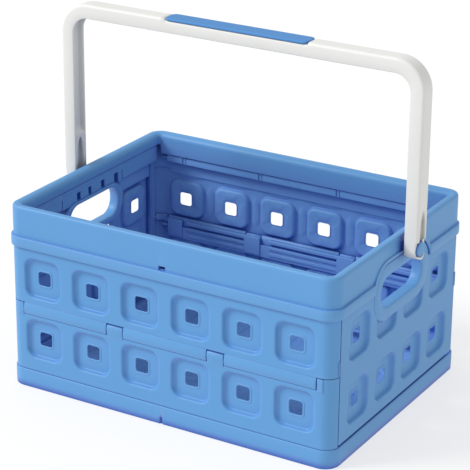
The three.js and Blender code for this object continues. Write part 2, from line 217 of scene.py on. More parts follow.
tray_high = node_box("base_tray")[1]
LIP_PROUD = 1.4
CORNER = 17.0
end_face = tray_high[0] - LIP_PROUD
long_face = tray_high[1] - LIP_PROUD
straight_x = end_face - CORNER
straight_y = long_face - CORNER
lip_top = tray_high[2]

# Even, satin and slightly waxy to the eye. The mould's grain is about 0.2 mm, too fine to show, so it is
# drawn at 0.8 mm. Colours: the blue in the open, lighter painted light between the walls, and deeper painted
# shade in creases.
blue = moulded("polypropylene_blue_moulded", "5b95cb", "7ca3e0", "4169bd", 0.42, 0.8, 0.04, 0.15)


def plan_line(extra_x=(), extra_y=()):
    """Points and outward directions round the walls' outer plan, anticlockwise from the front left:
    straight sides joined by quarter circles. extra_x and extra_y are further places to cut the long and the
    end sides."""
    turn = np.linspace(0, np.pi / 2, 13)
    xs = np.unique(np.concatenate([np.linspace(-straight_x, straight_x, 49), np.asarray(extra_x, float)]))
    ys = np.unique(np.concatenate([np.linspace(-straight_y, straight_y, 37), np.asarray(extra_y, float)]))
    places, directions = [], []

    def side(points, direction):
        places.append(points)
        directions.append(np.tile(direction, (len(points), 1)))

    def arc(centre, start):
        angles = start + turn[1:-1]
        out = np.column_stack([np.cos(angles), np.sin(angles)])
        places.append(np.asarray(centre) + CORNER * out)
        directions.append(out)

    side(np.column_stack([xs, np.full(len(xs), -long_face)]), [0, -1])
    arc([straight_x, -straight_y], -np.pi / 2)
    side(np.column_stack([np.full(len(ys), end_face), ys]), [1, 0])
    arc([straight_x, straight_y], 0)
    side(np.column_stack([xs[::-1], np.full(len(xs), long_face)]), [0, 1])
    arc([-straight_x, straight_y], np.pi / 2)
    side(np.column_stack([np.full(len(ys), -end_face), ys[::-1]]), [-1, 0])
    arc([-straight_x, -straight_y], np.pi)
    return np.concatenate(places), np.concatenate(directions)


def around_plan(profiles, places, directions):
    """Closed surface of a profile, (out, height) points, carried round the plan: each point lies at the
    place plus the direction times out. profiles has one profile per place."""
    out, height = profiles[..., 0], profiles[..., 1]
    xy = places[:, None] + directions[:, None] * out[..., None]
    return loft(np.concatenate([xy, height[..., None]], -1), closed=True)


# The small notch in the lip's foot, in the middle of the front.
NOTCH_X, NOTCH_CUTS = -4.0, (-5.6, -5.2, -2.8, -2.4)
NOTCH_HALF, NOTCH_DEPTH = 1.3, 2.2
# Out from the wall's face, and height: up the outside, over the lip, down to the ledge and the ring
# underneath.
lip = np.array(
    [
        (0.6, 0.0), (1.1, 0.4), (LIP_PROUD, 8.4), (LIP_PROUD, 8.6), (LIP_PROUD, lip_top - 1.4),
        (1.1, lip_top - 0.5), (0.4, lip_top), (-1.2, lip_top), (-1.6, lip_top - 0.5), (-1.6, 8.0),
        (-2.4, 6.5), (-6.5, 6.5), (-6.5, 4.0), (-2.4, 4.0), (-1.6, 3.0), (-1.6, 0.5), (-1.0, 0.0),
    ]
)
places, directions = plan_line(extra_x=NOTCH_CUTS)
lips = np.tile(lip, (len(places), 1, 1))
notch = (np.abs(places[:, 0] - NOTCH_X) < NOTCH_HALF) & (directions[:, 1] < -0.99)
lips[notch, :3, 0] -= NOTCH_DEPTH
make_piece("tray_lip", *around_plan(lips, places, directions), blue, "crate", "blue_shell", ["base_tray"])

# The floor's height over a grid: shallow square dishes side by side, and its corners drawn in to the
# rounded plan.
FLOOR_IN, FLOOR_TOP, FLOOR_WALL = 5.5, 6.6, 2.2
FLOOR_GRID = (331, 245)
CELL, CELL_DISH, CELL_DEPTH = 32.5, 13.2, 1.2
across = np.linspace(FLOOR_IN - end_face, end_face - FLOOR_IN, FLOOR_GRID[0])
along = np.linspace(FLOOR_IN - long_face, long_face - FLOOR_IN, FLOOR_GRID[1])
gx, gy = np.meshgrid(across, along, indexing="ij")
from_middle = np.maximum(np.abs((gx / CELL + 0.5) % 1 - 0.5), np.abs((gy / CELL + 0.5) % 1 - 0.5)) * CELL
past_x, past_y = np.maximum(np.abs(gx) - straight_x, 0), np.maximum(np.abs(gy) - straight_y, 0)
in_corner = np.hypot(past_x, past_y)
rise = FLOOR_TOP - CELL_DEPTH * np.clip((CELL_DISH - from_middle) / CELL_DEPTH, 0, 1) * (in_corner < 1)
draw_in = np.minimum(1, (CORNER - FLOOR_IN) / np.maximum(in_corner, 1e-6))
fx = np.sign(gx) * (np.minimum(np.abs(gx), straight_x) + past_x * draw_in)
fy = np.sign(gy) * (np.minimum(np.abs(gy), straight_y) + past_y * draw_in)
make_piece(
    "tray_floor", np.stack([fx, fy, rise], -1).reshape(-1, 3), grid_faces(*FLOOR_GRID), blue, "crate",
    "blue_shell", shell_mm=FLOOR_WALL,
)

# ---------------------------------------------------------------- long walls
# The four panels of the two long sides, an upper and a lower one at the front and the back, each with six
# square dishes. Blue moulded polypropylene. Each dish is a stack of rounded squares; the panel is then
# given its thickness.

PITCH = 65.0
WALL = 2.3
PANEL_ROUND = 0.4
ROW_LOW, ROW_HIGH = 62.3, 137.0
LONG_COLUMNS = (np.arange(6) - 2.5) * PITCH
SEAM_Y = 141.35
LOWER_PANEL = (lip_top + 0.4, 91.2)
UPPER_PANEL = (105.8, 171.9)
POST_TOP = 105.0
LONG_SIDES = (("front", 1), ("back", -1))

# Half width, corner radius and depth of the rounded squares, from the window's edge out to the flat face.
DISH = (
    (8.15, 3.3, 5.2), (8.3, 3.4, 4.5), (8.7, 3.7, 4.25), (9.8, 4.4, 4.25), (10.3, 4.7, 4.4),
    (10.6, 5.0, 4.8), (14.0, 6.4, 4.8), (17.4, 7.8, 4.8), (20.4, 9.2, 4.8), (21.4, 9.9, 4.65),
    (22.2, 10.4, 4.2), (22.9, 10.9, 3.2), (23.8, 11.5, 1.2), (24.4, 11.9, 0.45), (25.2, 12.5, 0.1),
    (26.2, 13.2, 0.0),
)
EDGE_CORNER = 13.0


def with_sides(arcs, side):
    """The points of an outline from its four corner arcs, with side - 1 points spaced evenly between each
    arc's end and the next one's start."""
    ahead = np.roll(arcs[:, 0], -1, 0)
    share = (np.arange(1, side) / side)[None, :, None]
    sides = arcs[:, -1][:, None] * (1 - share) + ahead[:, None] * share
    return np.concatenate([arcs, sides], 1).reshape(-1, 2)


def rounded_outline(width, height, radius, side=6, corner=8):
    """Anticlockwise points of a rectangle with rounded corners about the origin: a quarter circle at each
    corner, and straight sides between them."""
    turns = (np.arange(4)[:, None] + np.linspace(0, 1, corner + 1)) * np.pi / 2
    centres = np.array([[1, 1], [-1, 1], [-1, -1], [1, -1]]) * [width / 2 - radius, height / 2 - radius]
    return with_sides(centres[:, None] + radius * np.stack([np.cos(turns), np.sin(turns)], -1), side)


def edge_ring(low, high, half, side, corner):
    """Points on a rectangle in the same order as rounded_outline, so that a rounded square can be joined to
    it. Each corner's quarter circle is pushed out to the rectangle's corner: divided by its larger
    coordinate."""
    turn = np.linspace(0, np.pi / 2, corner + 1)
    push = np.maximum(np.cos(turn), np.sin(turn))
    arcs = []
    for quarter, (sx, sy) in enumerate(((1, 1), (-1, 1), (-1, -1), (1, -1))):
        angle = quarter * np.pi / 2 + turn
        tall = high if sy > 0 else low
        centre = np.array([sx * (half - EDGE_CORNER), sy * (tall - EDGE_CORNER)])
        arcs.append(centre + EDGE_CORNER * np.column_stack([np.cos(angle), np.sin(angle)]) / push[:, None])
    return with_sides(np.array(arcs), side)


def panel(columns, row, low, high, side=8, corner=12):
    """A flat panel, (along, height, depth), with a dish at each column: nested rounded squares from the
    window out to the panel's own rectangle. Also gives the heights at which its upright edges are cut."""
    outlines = [
        (rounded_outline(2 * half, 2 * half, radius, side, corner), depth) for half, radius, depth in DISH
    ]
    edge = edge_ring(row - low, high - row, PITCH / 2, side, corner)
    outlines += [(outlines[-1][0] * (1 - share) + edge * share, 0.0) for share in (0.5, 1.0)]
    parts = []
    for column in columns:
        rings = np.array(
            [np.column_stack([flat + [column, row], np.full(len(flat), depth)]) for flat, depth in outlines]
        )
        parts.append((rings.reshape(-1, 3), grid_faces(*rings.shape[:2], columns_close=True).tolist()))
    heights = np.unique(np.round(edge[np.abs(edge[:, 0] - PITCH / 2) < 1e-6][:, 1] + row, 4))
    return parts, heights


def post(start, stop, heights):
    """A plain strip of the panel beside its last dish: a grid over the distance along it and the height."""
    along = np.linspace(start, stop, 11)
    a, h = np.meshgrid(along, heights, indexing="ij")
    points = np.stack([a, h, np.zeros_like(a)], -1).reshape(-1, 3)
    return points, grid_faces(len(along), len(heights)).tolist()


def bend_front(points):
    """Wraps a flat panel round the plan: along is the arc length from the front's middle, depth goes
    inwards. Past the straight part a point turns about the corner's centre by its distance along divided by
    the radius."""
    along, height, depth = np.asarray(points).T
    turn = np.clip(np.abs(along) - straight_x, 0, None) / CORNER
    reach = CORNER - depth
    x = np.sign(along) * (np.minimum(np.abs(along), straight_x) + reach * np.sin(turn))
    y = -straight_y - reach * np.cos(turn)
    return np.column_stack([x, y, height])


def facing(points, faces, direction):
    """Faces turned so that the surface's mean normal agrees with the direction."""
    points = np.asarray(points)
    quads = np.array([face[:3] for face in faces])
    a, b, c = points[quads[:, 0]], points[quads[:, 1]], points[quads[:, 2]]
    mean = np.cross(b - a, c - a).sum(0)
    return faces if mean @ np.asarray(direction) > 0 else [face[::-1] for face in faces]


def joined(parts):
    """Several (points, faces) surfaces as one."""
    points, faces, count = [], [], 0
    for these, those in parts:
        points.append(np.asarray(these))
        faces += [[int(v) + count for v in face] for face in those]
        count += len(these)
    return np.concatenate(points), faces


def on_side(surface, axis, side, sheet=False):
    """A surface as it is where side is 1. On the other side of the crate its coordinate along the axis
    changes sign, and an open sheet's faces are turned round."""
    points, faces = surface
    if side == 1:
        return points, faces
    flipped = np.array(points, float)
    flipped[:, axis] *= -1
    return flipped, [face[::-1] for face in faces] if sheet else faces


def rounded_block(x, y, z, radius):
    """A block with rounded edges between the limits x, y and z, each in either order: a rounded outline in
    Y and Z carried along X, which shrinks along a quarter circle at both ends."""
    x, y, z = sorted(x), sorted(y), sorted(z)
    turn = np.linspace(0, np.pi / 2, 5)
    shrink = radius * (1 - np.sin(turn))
    along = radius * (1 - np.cos(turn))
    steps = np.concatenate([x[0] + along, (x[1] - along)[::-1]])
    inset = np.concatenate([shrink, shrink[::-1]])
    rings = []
    for at, less in zip(steps, inset):
        wide, tall = y[1] - y[0] - 2 * less, z[1] - z[0] - 2 * less
        flat = rounded_outline(wide, tall, max(radius - less, 0.02), 1, 4) + [sum(y) / 2, sum(z) / 2]
        rings.append(np.column_stack([np.full(len(flat), at), flat]))
    return loft(rings)


post_end = straight_x + CORNER * math.acos((SEAM_Y - straight_y) / CORNER)
last_edge = 3 * PITCH
for level, row, limits in (("lower", ROW_LOW, LOWER_PANEL), ("upper", ROW_HIGH, UPPER_PANEL)):
    parts, heights = panel(LONG_COLUMNS, row, *limits)
    if level == "lower":
        heights = np.append(heights, [93.5, 98.0, 102.0, POST_TOP])
    parts += [post(last_edge, post_end, heights), post(-post_end, -last_edge, heights)]
    points, faces = joined([(points, facing(points, faces, (0, 0, -1))) for points, faces in parts])
    shaped = bend_front(points)
    wall = shaped, facing(shaped, faces, (0, -1, 0))
    for name, side in LONG_SIDES:
        make_piece(
            f"{name}_{level}_panel", *on_side(wall, 1, side, sheet=True), blue, "crate", "blue_shell",
            [f"{name}_{level}_wall"], shell_mm=WALL, round_mm=PANEL_ROUND,
        )

# Behind each corner post a strip covers the joint of the lower and the upper panel, and a lug holds the end
# wall in.
BACKING_HEIGHTS = np.linspace(101.0, 110.0, 6)
BACKING_WALL = 0.5
LUG_HEIGHTS = (107.0, 124.0)
# How far each step of a lug lies past the end's face, from and to, and where it starts and stops along Y.
LUG_STEPS = ((-1.2, 0.45, SEAM_Y - 0.1, SEAM_Y + 2.0), (0.02, 0.45, SEAM_Y - 1.9, SEAM_Y + 1.0))
parts = []
for start, stop in ((last_edge - 4, post_end - 6), (6 - post_end, 4 - last_edge)):
    points, faces = post(start, stop, BACKING_HEIGHTS)
    parts.append((points + [0, 0, WALL + 0.1], facing(points, faces, (0, 0, -1))))
points, faces = joined(parts)
shaped = bend_front(points)
backing = shaped, facing(shaped, faces, (0, -1, 0))
post_lugs = joined([
    rounded_block((side * (end_face + inner), side * (end_face + outer)), (-stop, -start), LUG_HEIGHTS, 0.2)
    for side in (1, -1)
    for inner, outer, start, stop in LUG_STEPS
])
for name, side in LONG_SIDES:
    make_piece(
        f"{name}_post_backing", *on_side(backing, 1, side, sheet=True), blue, "crate", "blue_shell",
        shell_mm=BACKING_WALL,
    )
    make_piece(f"{name}_post_lugs", *on_side(post_lugs, 1, side), blue, "crate", "blue_shell")

# ---------------------------------------------------------------- middle hinges
# The knuckles across the middle of each long side: a proud strip of the upper panel between square tabs of
# the lower one, and on the inside a row of horizontal ribs between solid blocks. Blue moulded
# polypropylene, carried profiles and rounded blocks.

TAB_X, TAB_HALF, TAB_GAP = 65.0, 10.4, 0.85
END_TAB = (189.4, 196.5)
GAP_PLATE = (187.6, 190.6)
RIB_IN, RIB_OUT, RIB_HALF = 4.6, 9.8, 2.6
RIB_HEIGHTS = (90.0, 98.0, 106.0)
RIBS = ((-160.0, -75.0), (-41.0, 54.0), (89.0, 168.0))
BLOCKS = ((-76.0, -53.5), (53.0, 76.5), (-187.0, -166.0), (167.0, 187.0))
# Out from the wall's face, and height. The tongues above and below lie behind the panels, across the gaps.
strip_profile = np.array(
    [
        (-2.7, 91.6), (0.0, 91.6), (0.4, 91.9), (0.8, 92.8), (1.2, 94.3), (1.5, 96.2), (1.6, 98.0),
        (1.55, 99.4), (1.35, 100.8), (1.0, 102.2), (0.55, 103.6), (0.1, 104.8), (-0.4, 106.0),
        (-2.0, 106.6), (-2.4, 111.0), (-4.6, 111.0), (-6.0, 105.8), (-6.0, 91.9), (-4.6, 88.2), (-2.7, 88.2),
    ]
)
tab_profile = np.array(
    [
        (-2.7, 86.0), (-0.8, 86.0), (0.1, 88.6), (0.5, 91.5), (1.0, 95.0), (1.4, 98.4), (1.5, 100.2),
        (1.4, 101.4), (1.0, 102.6), (0.4, 103.6), (-0.4, 104.1), (-2.7, 104.2), (-2.7, 110.0),
        (-4.6, 110.0), (-6.0, 104.0), (-6.0, 91.0), (-4.6, 86.0),
    ]
)


def carried(profile, start, stop):
    """A profile of (out, height) points carried straight along the front wall from start to stop. Near both
    ends it shrinks about its middle, so that they look rounded."""
    middle = profile.mean(0)
    ends = ((0.0, 0.9), (0.25, 0.975), (0.7, 1))
    rings = []
    for at, size in (*[(start + d, s) for d, s in ends], *[(stop - d, s) for d, s in ends[::-1]]):
        flat = middle + (profile - middle) * size
        rings.append(np.column_stack([np.full(len(flat), at), -long_face - flat[:, 0], flat[:, 1]]))
    return loft(rings)


def front_block(x, inside, z, radius):
    """A rounded block on the front wall, from and to the distances inside the wall's face."""
    return rounded_block(x, (-long_face + inside[0], -long_face + inside[1]), z, radius)


strips = [
    carried(strip_profile, start, stop)
    for start, stop in (
        (-END_TAB[0] + TAB_GAP, -TAB_X - TAB_HALF - TAB_GAP),
        (-TAB_X + TAB_HALF + TAB_GAP, TAB_X - TAB_HALF - TAB_GAP),
        (TAB_X + TAB_HALF + TAB_GAP, END_TAB[0] - TAB_GAP),
    )
]
tabs = [carried(tab_profile, x - TAB_HALF, x + TAB_HALF) for x in (-TAB_X, TAB_X)]
# The end tabs, then a thin plate behind each outer gap, so that no light passes beside the strip.
for (start, stop), inside, heights, radius in (
    (END_TAB, (-0.4, 4.0), (LOWER_PANEL[1] - 2, POST_TOP), 0.5),
    (GAP_PLATE, (2.8, 4.6), (92.0, 107.0), 0.4),
):
    tabs += [front_block((side * start, side * stop), inside, heights, radius) for side in (-1, 1)]
ribs = []
for place in RIBS:
    ribs.append(front_block(place, (5.2, 6.4), (83.0, 108.0), 0.4))
    ribs += [front_block(place, (RIB_IN, RIB_OUT), (z - RIB_HALF, z + RIB_HALF), 1.3) for z in RIB_HEIGHTS]
blocks = [front_block(place, (RIB_IN, RIB_OUT + 0.3), (86.0, 108.6), 1.0) for place in BLOCKS]
blocks.append(front_block((-187.0, 187.0), (4.4, 8.6), (84.0, 99.8), 0.6))

for name, side in LONG_SIDES:
    for kind, parts in (("strip", strips), ("tabs", tabs), ("ribs", ribs), ("blocks", blocks)):
        surface = on_side(joined(parts), 1, side)
        make_piece(f"{name}_middle_hinge_{kind}", *surface, blue, "crate", "blue_shell")

# ---------------------------------------------------------------- rim hinges
# The barrels that hang each long side from the rim, cut by the rim's lugs. Blue moulded polypropylene,
# rounded blocks with a web down to the panel.

rim_top = node_box("rim_frame")[1][2]
BARREL = (184.2, 193.6)
BARREL_IN = 11.0
BARREL_END = 187.0
RIM_LUGS = (-161.5, -53.0, 53.0, 161.5)
LUG_HALF, LUG_GAP = 1.9, 0.5
SLOT_X = (-7.2, 1.3)
cut = LUG_HALF + LUG_GAP
edges = [-BARREL_END, *[x + d for x in RIM_LUGS[:2] for d in (-cut, cut)], SLOT_X[0] - 1.0]
edges += [SLOT_X[1] + 1.0, *[x + d for x in RIM_LUGS[2:] for d in (-cut, cut)], BARREL_END]
barrels = [front_block(place, (2.6, BARREL_IN), BARREL, 1.1) for place in zip(edges[::2], edges[1::2])]
# Behind the rim's slot the barrel is only its inner half.
barrels.append(front_block((SLOT_X[0] - 3.0, SLOT_X[1] + 3.0), (6.2, BARREL_IN), BARREL, 1.1))
barrels.append(front_block((-BARREL_END, BARREL_END), (1.6, 2.9), (168.0, BARREL[0] + 2), 0.3))
rim_lugs = [
    front_block((x - LUG_HALF, x + LUG_HALF), (3.0, BARREL_IN - 0.6), (BARREL[0], rim_top - 3), 0.4)
    for x in RIM_LUGS
]
for name, side in LONG_SIDES:
    for kind, parts in (("barrels", barrels), ("lugs", rim_lugs)):
        make_piece(f"{name}_rim_{kind}", *on_side(joined(parts), 1, side), blue, "crate", "blue_shell")

# ---------------------------------------------------------------- end walls
# The two swinging end walls: eight square dishes each, with the hand hole's collar standing over the upper
# row and a hinge leaf that runs up behind the rim. Blue moulded polypropylene; dishes as on the long walls,
# the collar a closed profile between two rounded outlines.

END_COLUMNS = (np.arange(4) - 1.5) * PITCH
END_ROWS = (24.2, 99.65, 171.9)
# Half width, lowest and top height, and corner radius. The panel is open within the last one, under the
# collar.
COLLAR = (66.6, 131.9, 197.4, 29.6)
BEZEL = (60.5, 138.0, 186.0, 23.0)
HAND_HOLE = (50.0, 146.0, 182.0, 17.0)
PANEL_HOLE = (58.0, 139.5, 189.5, 23.0)
collar_out = node_box("right_end_wall")[1][0]
GRIP_X = 196.2


def outline_of(size, side=14, corner=14):
    """A rounded outline in Y and Z of a (half width, lowest, top, corner radius) opening."""
    half, low, top, radius = size
    return rounded_outline(2 * half, top - low, radius, side, corner) + [0, (low + top) / 2]


def inside_outline(y, z, size):
    """True where a point lies inside a (half width, lowest, top, corner radius) opening: its distance from
    the rectangle of the corners' centres is less than the radius."""
    half, low, top, radius = size
    dy = np.maximum(np.abs(y) - (half - radius), 0)
    dz = np.maximum(np.abs(z - (low + top) / 2) - ((top - low) / 2 - radius), 0)
    return np.hypot(dy, dz) < radius


def end_block(inside, y, z, radius):
    """A rounded block on the right end wall, from and to the distances inside the wall's face."""
    return rounded_block((end_face - inside[0], end_face - inside[1]), y, z, radius)


half_seam = SEAM_Y - 1.0
parts = []
for row, low, high in ((ROW_LOW, END_ROWS[0], END_ROWS[1]), (ROW_HIGH, END_ROWS[1], END_ROWS[2])):
    cells, heights = panel(END_COLUMNS, row, low, high)
    cells += [post(2 * PITCH, half_seam, heights), post(-half_seam, -2 * PITCH, heights)]
    for points, faces in cells:
        faces = np.array(facing(points, faces, (0, 0, -1)))
        centres = points[faces].mean(1)
        hidden = inside_outline(centres[:, 0], centres[:, 1], PANEL_HOLE)
        parts.append((points, faces[~hidden].tolist()))
points, faces = joined(parts)
used, renumbered = np.unique(np.array(faces), return_inverse=True)
points = points[used]
shaped = np.column_stack([end_face - points[:, 2], points[:, 0], points[:, 1]])
end_panel = shaped, facing(shaped, renumbered.reshape(-1, 4).tolist(), (1, 0, 0))

hole_line, collar_line, bezel_line = outline_of(HAND_HOLE), outline_of(COLLAR), outline_of(BEZEL)
# Outline, share of the way to it from the hand hole, and X, round the collar's section.
collar_section = (
    (collar_line, 1.0, end_face - 1.5), (collar_line, 1.0, collar_out - 1.0),
    (collar_line, 0.98, collar_out - 0.3), (collar_line, 0.93, collar_out), (collar_line, 0.2, collar_out),
    (collar_line, 0.1, collar_out - 0.15), (collar_line, 0.03, collar_out - 0.8),
    (collar_line, 0.0, collar_out - 2.0), (bezel_line, 0.0, GRIP_X + 2.4), (bezel_line, 0.04, GRIP_X + 1.0),
    (bezel_line, 0.12, GRIP_X + 0.25), (bezel_line, 0.25, GRIP_X), (bezel_line, 0.7, GRIP_X),
    (bezel_line, 0.88, GRIP_X + 0.25), (bezel_line, 0.97, GRIP_X + 0.9), (bezel_line, 1.0, GRIP_X + 2.0),
    (bezel_line, 1.0, end_face - 5.2), (collar_line, 0.97, end_face - 5.0),
    (collar_line, 1.0, end_face - 4.6),
)
rings = [
    np.column_stack([np.full(len(hole_line), x), hole_line * (1 - share) + line * share])
    for line, share, x in collar_section
]
collar = loft(rings, closed=True)
leaves, end_barrels = [
    [end_block(inside, (side * start, side * half_seam), heights, radius) for side in (1, -1)]
    for inside, start, heights, radius in (
        ((5.6, 2.9), 62.0, (166.0, 203.0), 0.5),
        ((10.8, 3.2), 63.0, (184.4, 205.2), 1.4),
    )
]
# Over the hand hole the hinge stands on short blocks, with dark gaps between them.
BRIDGE_BLOCKS = ((-62.0, -32.4), (-25.6, -9.0), (-3.4, 17.6), (24.4, 45.4), (53.6, 62.0))
bridge = [
    end_block((5.4, 3.0), (-64.0, 64.0), (180.0, 204.0), 0.4),
    end_block((10.74, 3.3), (-69.0, 69.0), (195.6, 205.14), 1.4),
    *[end_block((10.6, 4.6), place, (183.0, 199.0), 1.0) for place in BRIDGE_BLOCKS],
]
# The tongue behind the tray's lip, and upright lips behind the seams beside the posts, which keep the light
# out.
tongue = end_block((5.6, 2.2), (-half_seam + 8, half_seam - 8), (16.8, 28.0), 0.5)
SEAM_LIPS = ((half_seam - 4, half_seam + 3.4, (5.0, 3.4)), (130.4, 132.2, (7.4, 1.8)))
seam_lips = [
    end_block(inside, (side * start, side * stop), (26.0, 183.0), 0.4)
    for side in (1, -1)
    for start, stop, inside in SEAM_LIPS
]
for name, side in (("right", 1), ("left", -1)):
    body = f"{name}_end"
    make_piece(
        f"{name}_end_panel", *on_side(end_panel, 0, side, sheet=True), blue, body, "blue_shell",
        [f"{name}_end_wall"], shell_mm=WALL, round_mm=PANEL_ROUND,
    )
    for kind, parts in (
        ("collar", [collar]), ("leaves", leaves), ("barrels", end_barrels), ("tongue", [tongue]),
        ("seam_lips", seam_lips), ("bridge", bridge),
    ):
        make_piece(f"{name}_end_{kind}", *on_side(joined(parts), 0, side), blue, body, "blue_shell")

# ---------------------------------------------------------------- rim
# The rim frame all round the top: an upturned channel with a thicker band below, which narrows to a lip
# where it arches over each hand hole. Blue moulded polypropylene, one profile carried round the plan and
# changed along it.

BAND = (172.3, 184.6)
BAND_PROUD, ARCH_PROUD = 2.7, 1.3
ARCH_GAP, ARCH_LIP = 1.1, 4.6
RIM_SKIN = 2.5
RIM_IN = -13.0
SKIRT_LOW, END_SKIRT_LOW = 194.2, 206.2
# The inner skirt steps up from the long sides to the ends where the plan has turned this far.
SKIRT_STEP, SKIRT_STEP_LONG = 0.42, 0.1


def arch_size(grow):
    """Half width, crown height and corner radius of the collar's outline, grown by a clearance."""
    half, _, top, radius = COLLAR
    return half + grow, top + grow, radius + grow


def arch_height(y, grow):
    """Height of the collar's outline, grown by a clearance, above a point at y: the crown, less the fall of
    the corner's circle. Zero beyond its half width."""
    half, top, radius = arch_size(grow)
    reach = np.clip(np.abs(y) - (half - radius), 0, radius)
    return np.where(np.abs(y) < half, top - radius + np.sqrt(radius**2 - reach**2), 0)


quarter = np.sin(np.linspace(0, np.pi / 2, 40))
arch_sizes = arch_size(ARCH_GAP), arch_size(ARCH_GAP + ARCH_LIP)
arch_cuts = np.concatenate([half - radius + radius * quarter for half, _, radius in arch_sizes])
slot_cuts = (SLOT_X[0] - 0.1, *SLOT_X, SLOT_X[1] + 0.1)
places, directions = plan_line(extra_x=slot_cuts, extra_y=np.concatenate([arch_cuts, -arch_cuts]))
on_end = np.abs(directions[:, 0]) > 0.999
y = places[:, 1]
low = np.where(on_end, np.maximum(BAND[0], arch_height(y, ARCH_GAP)), BAND[0])
high = np.where(on_end, np.maximum(BAND[1], arch_height(y, ARCH_GAP + ARCH_LIP)), BAND[1])
near_arch = np.where(on_end, np.clip((high - BAND[1]) / 8.0, 0, 1), 0)
proud = BAND_PROUD + (ARCH_PROUD - BAND_PROUD) * near_arch**0.5
skirt_mix = np.clip((np.abs(directions[:, 0]) - SKIRT_STEP) / SKIRT_STEP_LONG, 0, 1)
skirt = SKIRT_LOW + (END_SKIRT_LOW - SKIRT_LOW) * skirt_mix
in_slot = np.abs(places[:, 0] - np.mean(SLOT_X)) < (SLOT_X[1] - SLOT_X[0]) / 2 + 0.05
slot = (in_slot & (directions[:, 1] < -0.99)).astype(float)
edge = np.minimum(1.0, (high - low) / 12)
# Out from the wall's face, and height: up the band's outside, over the rounded top, down the inner skirt,
# and back up and down inside. Where slot is 1 the skin above the band dips in for the front's small slot.
profile = [
    (proud - 0.9, low), (proud - 0.25, low + 0.3 * edge), (proud, low + 1.0 * edge),
    (proud, high - 1.3 * edge), (proud - 0.35, high - 0.5 * edge), (proud - 1.1, high - 0.05),
    (0.25, high + 0.05), (0, high + 0.4),
    (-2.3 * slot, high + 0.5 - 0.2 * slot), (-3.2 * slot, high + 0.6 - 7.6 * slot),
    (-6.0 * slot, high + 0.7 - 7.7 * slot), (-6.0 * slot, high + 5.6), (0, high + 5.0 + 0.7 * (1 - slot)),
    (0, high + 6.0), (0, rim_top - 6.0), (-0.05, rim_top - 3.4), (-0.4, rim_top - 1.9), (-1.1, rim_top - 0.8),
    (-2.2, rim_top - 0.15), (-3.4, rim_top), (-5.0, rim_top), (-6.8, rim_top - 0.2), (-8.6, rim_top - 0.75),
    (-10.3, rim_top - 1.7), (-11.6, rim_top - 3.0), (-12.5, rim_top - 4.7), (-12.95, rim_top - 6.8),
    (RIM_IN, skirt + 1.0), (RIM_IN + 0.3, skirt + 0.2), (RIM_IN + 0.8, skirt),
    (RIM_IN + RIM_SKIN - 0.5, skirt), (RIM_IN + RIM_SKIN, skirt + 0.6), (RIM_IN + RIM_SKIN, rim_top - 7.0),
    (-8.4, rim_top - 3.4), (-RIM_SKIN, rim_top - RIM_SKIN), (-RIM_SKIN, high + 7.0),
    (-RIM_SKIN - 4.2 * slot, high + 6.4), (-RIM_SKIN - 4.2 * slot, high - 8.0), (-RIM_SKIN, high - 8.4),
    (-RIM_SKIN, low + 0.4), (-RIM_SKIN + 0.5, low),
]
zero = np.zeros(len(places))
profiles = np.stack([np.stack([zero + out, zero + height], -1) for out, height in profile], 1)
rim = around_plan(profiles, places, directions)
make_piece("rim_channel", *rim, blue, "crate", "blue_shell", ["rim_frame"])

# ---------------------------------------------------------------- handle pivots
# The round bosses on the rim that the handle swings on, with a wide flat head that shows in each leg's
# opening. Blue moulded polypropylene, circles carried along X.

pivot_z = next(j for j in frame["joints"] if j["name"] == "handle_swing")["pos_m"][2] * 1000
handle_low, handle_high = node_box("handle_bail")
leg_out = handle_high[0]
BOSS_R, HEAD_R = 5.3, 8.6
boss_section = (
    (end_face - 1.5, BOSS_R), (leg_out - 6.6, BOSS_R), (leg_out - 6.5, 7.8), (leg_out - 6.3, HEAD_R),
    (leg_out - 1.6, HEAD_R), (leg_out - 0.9, HEAD_R - 0.3), (leg_out - 0.6, HEAD_R - 1.0),
    (leg_out - 0.6, 2.0),
)
around = np.linspace(0, 2 * np.pi, 65)[:-1]
boss = loft([
    np.column_stack([np.full(len(around), x), radius * np.cos(around), pivot_z + radius * np.sin(around)])
    for x, radius in boss_section
])
make_piece("handle_pivots", *joined([boss, on_side(boss, 0, -1)]), blue, "crate", "blue_shell")

# ---------------------------------------------------------------- handle
# The bail: two legs and a bar in one piece, hollowed on the inside of the legs, with an opening over each
# pivot that runs up to a point. White moulded polypropylene, a rounded section carried along the U and
# pressed in at the openings.

# The same satin surface as the blue mouldings, in a warm white, with grey painted shade between the walls
# and in its hollows.
white = moulded("polypropylene_white_moulded", "dededb", "d8d8d4", "a4a4a0", 0.4, 0.8, 0.04, 0.1)
THICK = 16.6
ROUND = 3.6
BEND = 36.0
INSERT_HALF = 90.5
INSERT_POCKET = 2.2
HOLLOW_DEPTH, HOLLOW_FROM = 4.2, 258
# Heights and widths of the openings in the legs: a recess in the outer face that deepens downwards from its
# point, a plain one in the inner face, a step across the leg, and a round seat for the pivot's head.
POINT_Z, POINT_LONG, POINT_HALF = 212.0, 38.5, 7.2
INNER_Z, INNER_LONG, INNER_HALF, INNER_DEPTH = 217.0, 36.0, 6.4, 5.5
STEP_LOW, STEP_TOP, STEP_DEPTH = 199.0, 216.5, 3.0
SEAT_R, SEAT_DEPTH = 9.1, 6.9
TOE_R = 6.0

half_thick = THICK / 2
leg_half = (handle_high[1] - handle_low[1]) / 2
bar_top = handle_high[2]
bend_r = BEND - half_thick
bend_x, bend_z = leg_out - BEND, bar_top - BEND

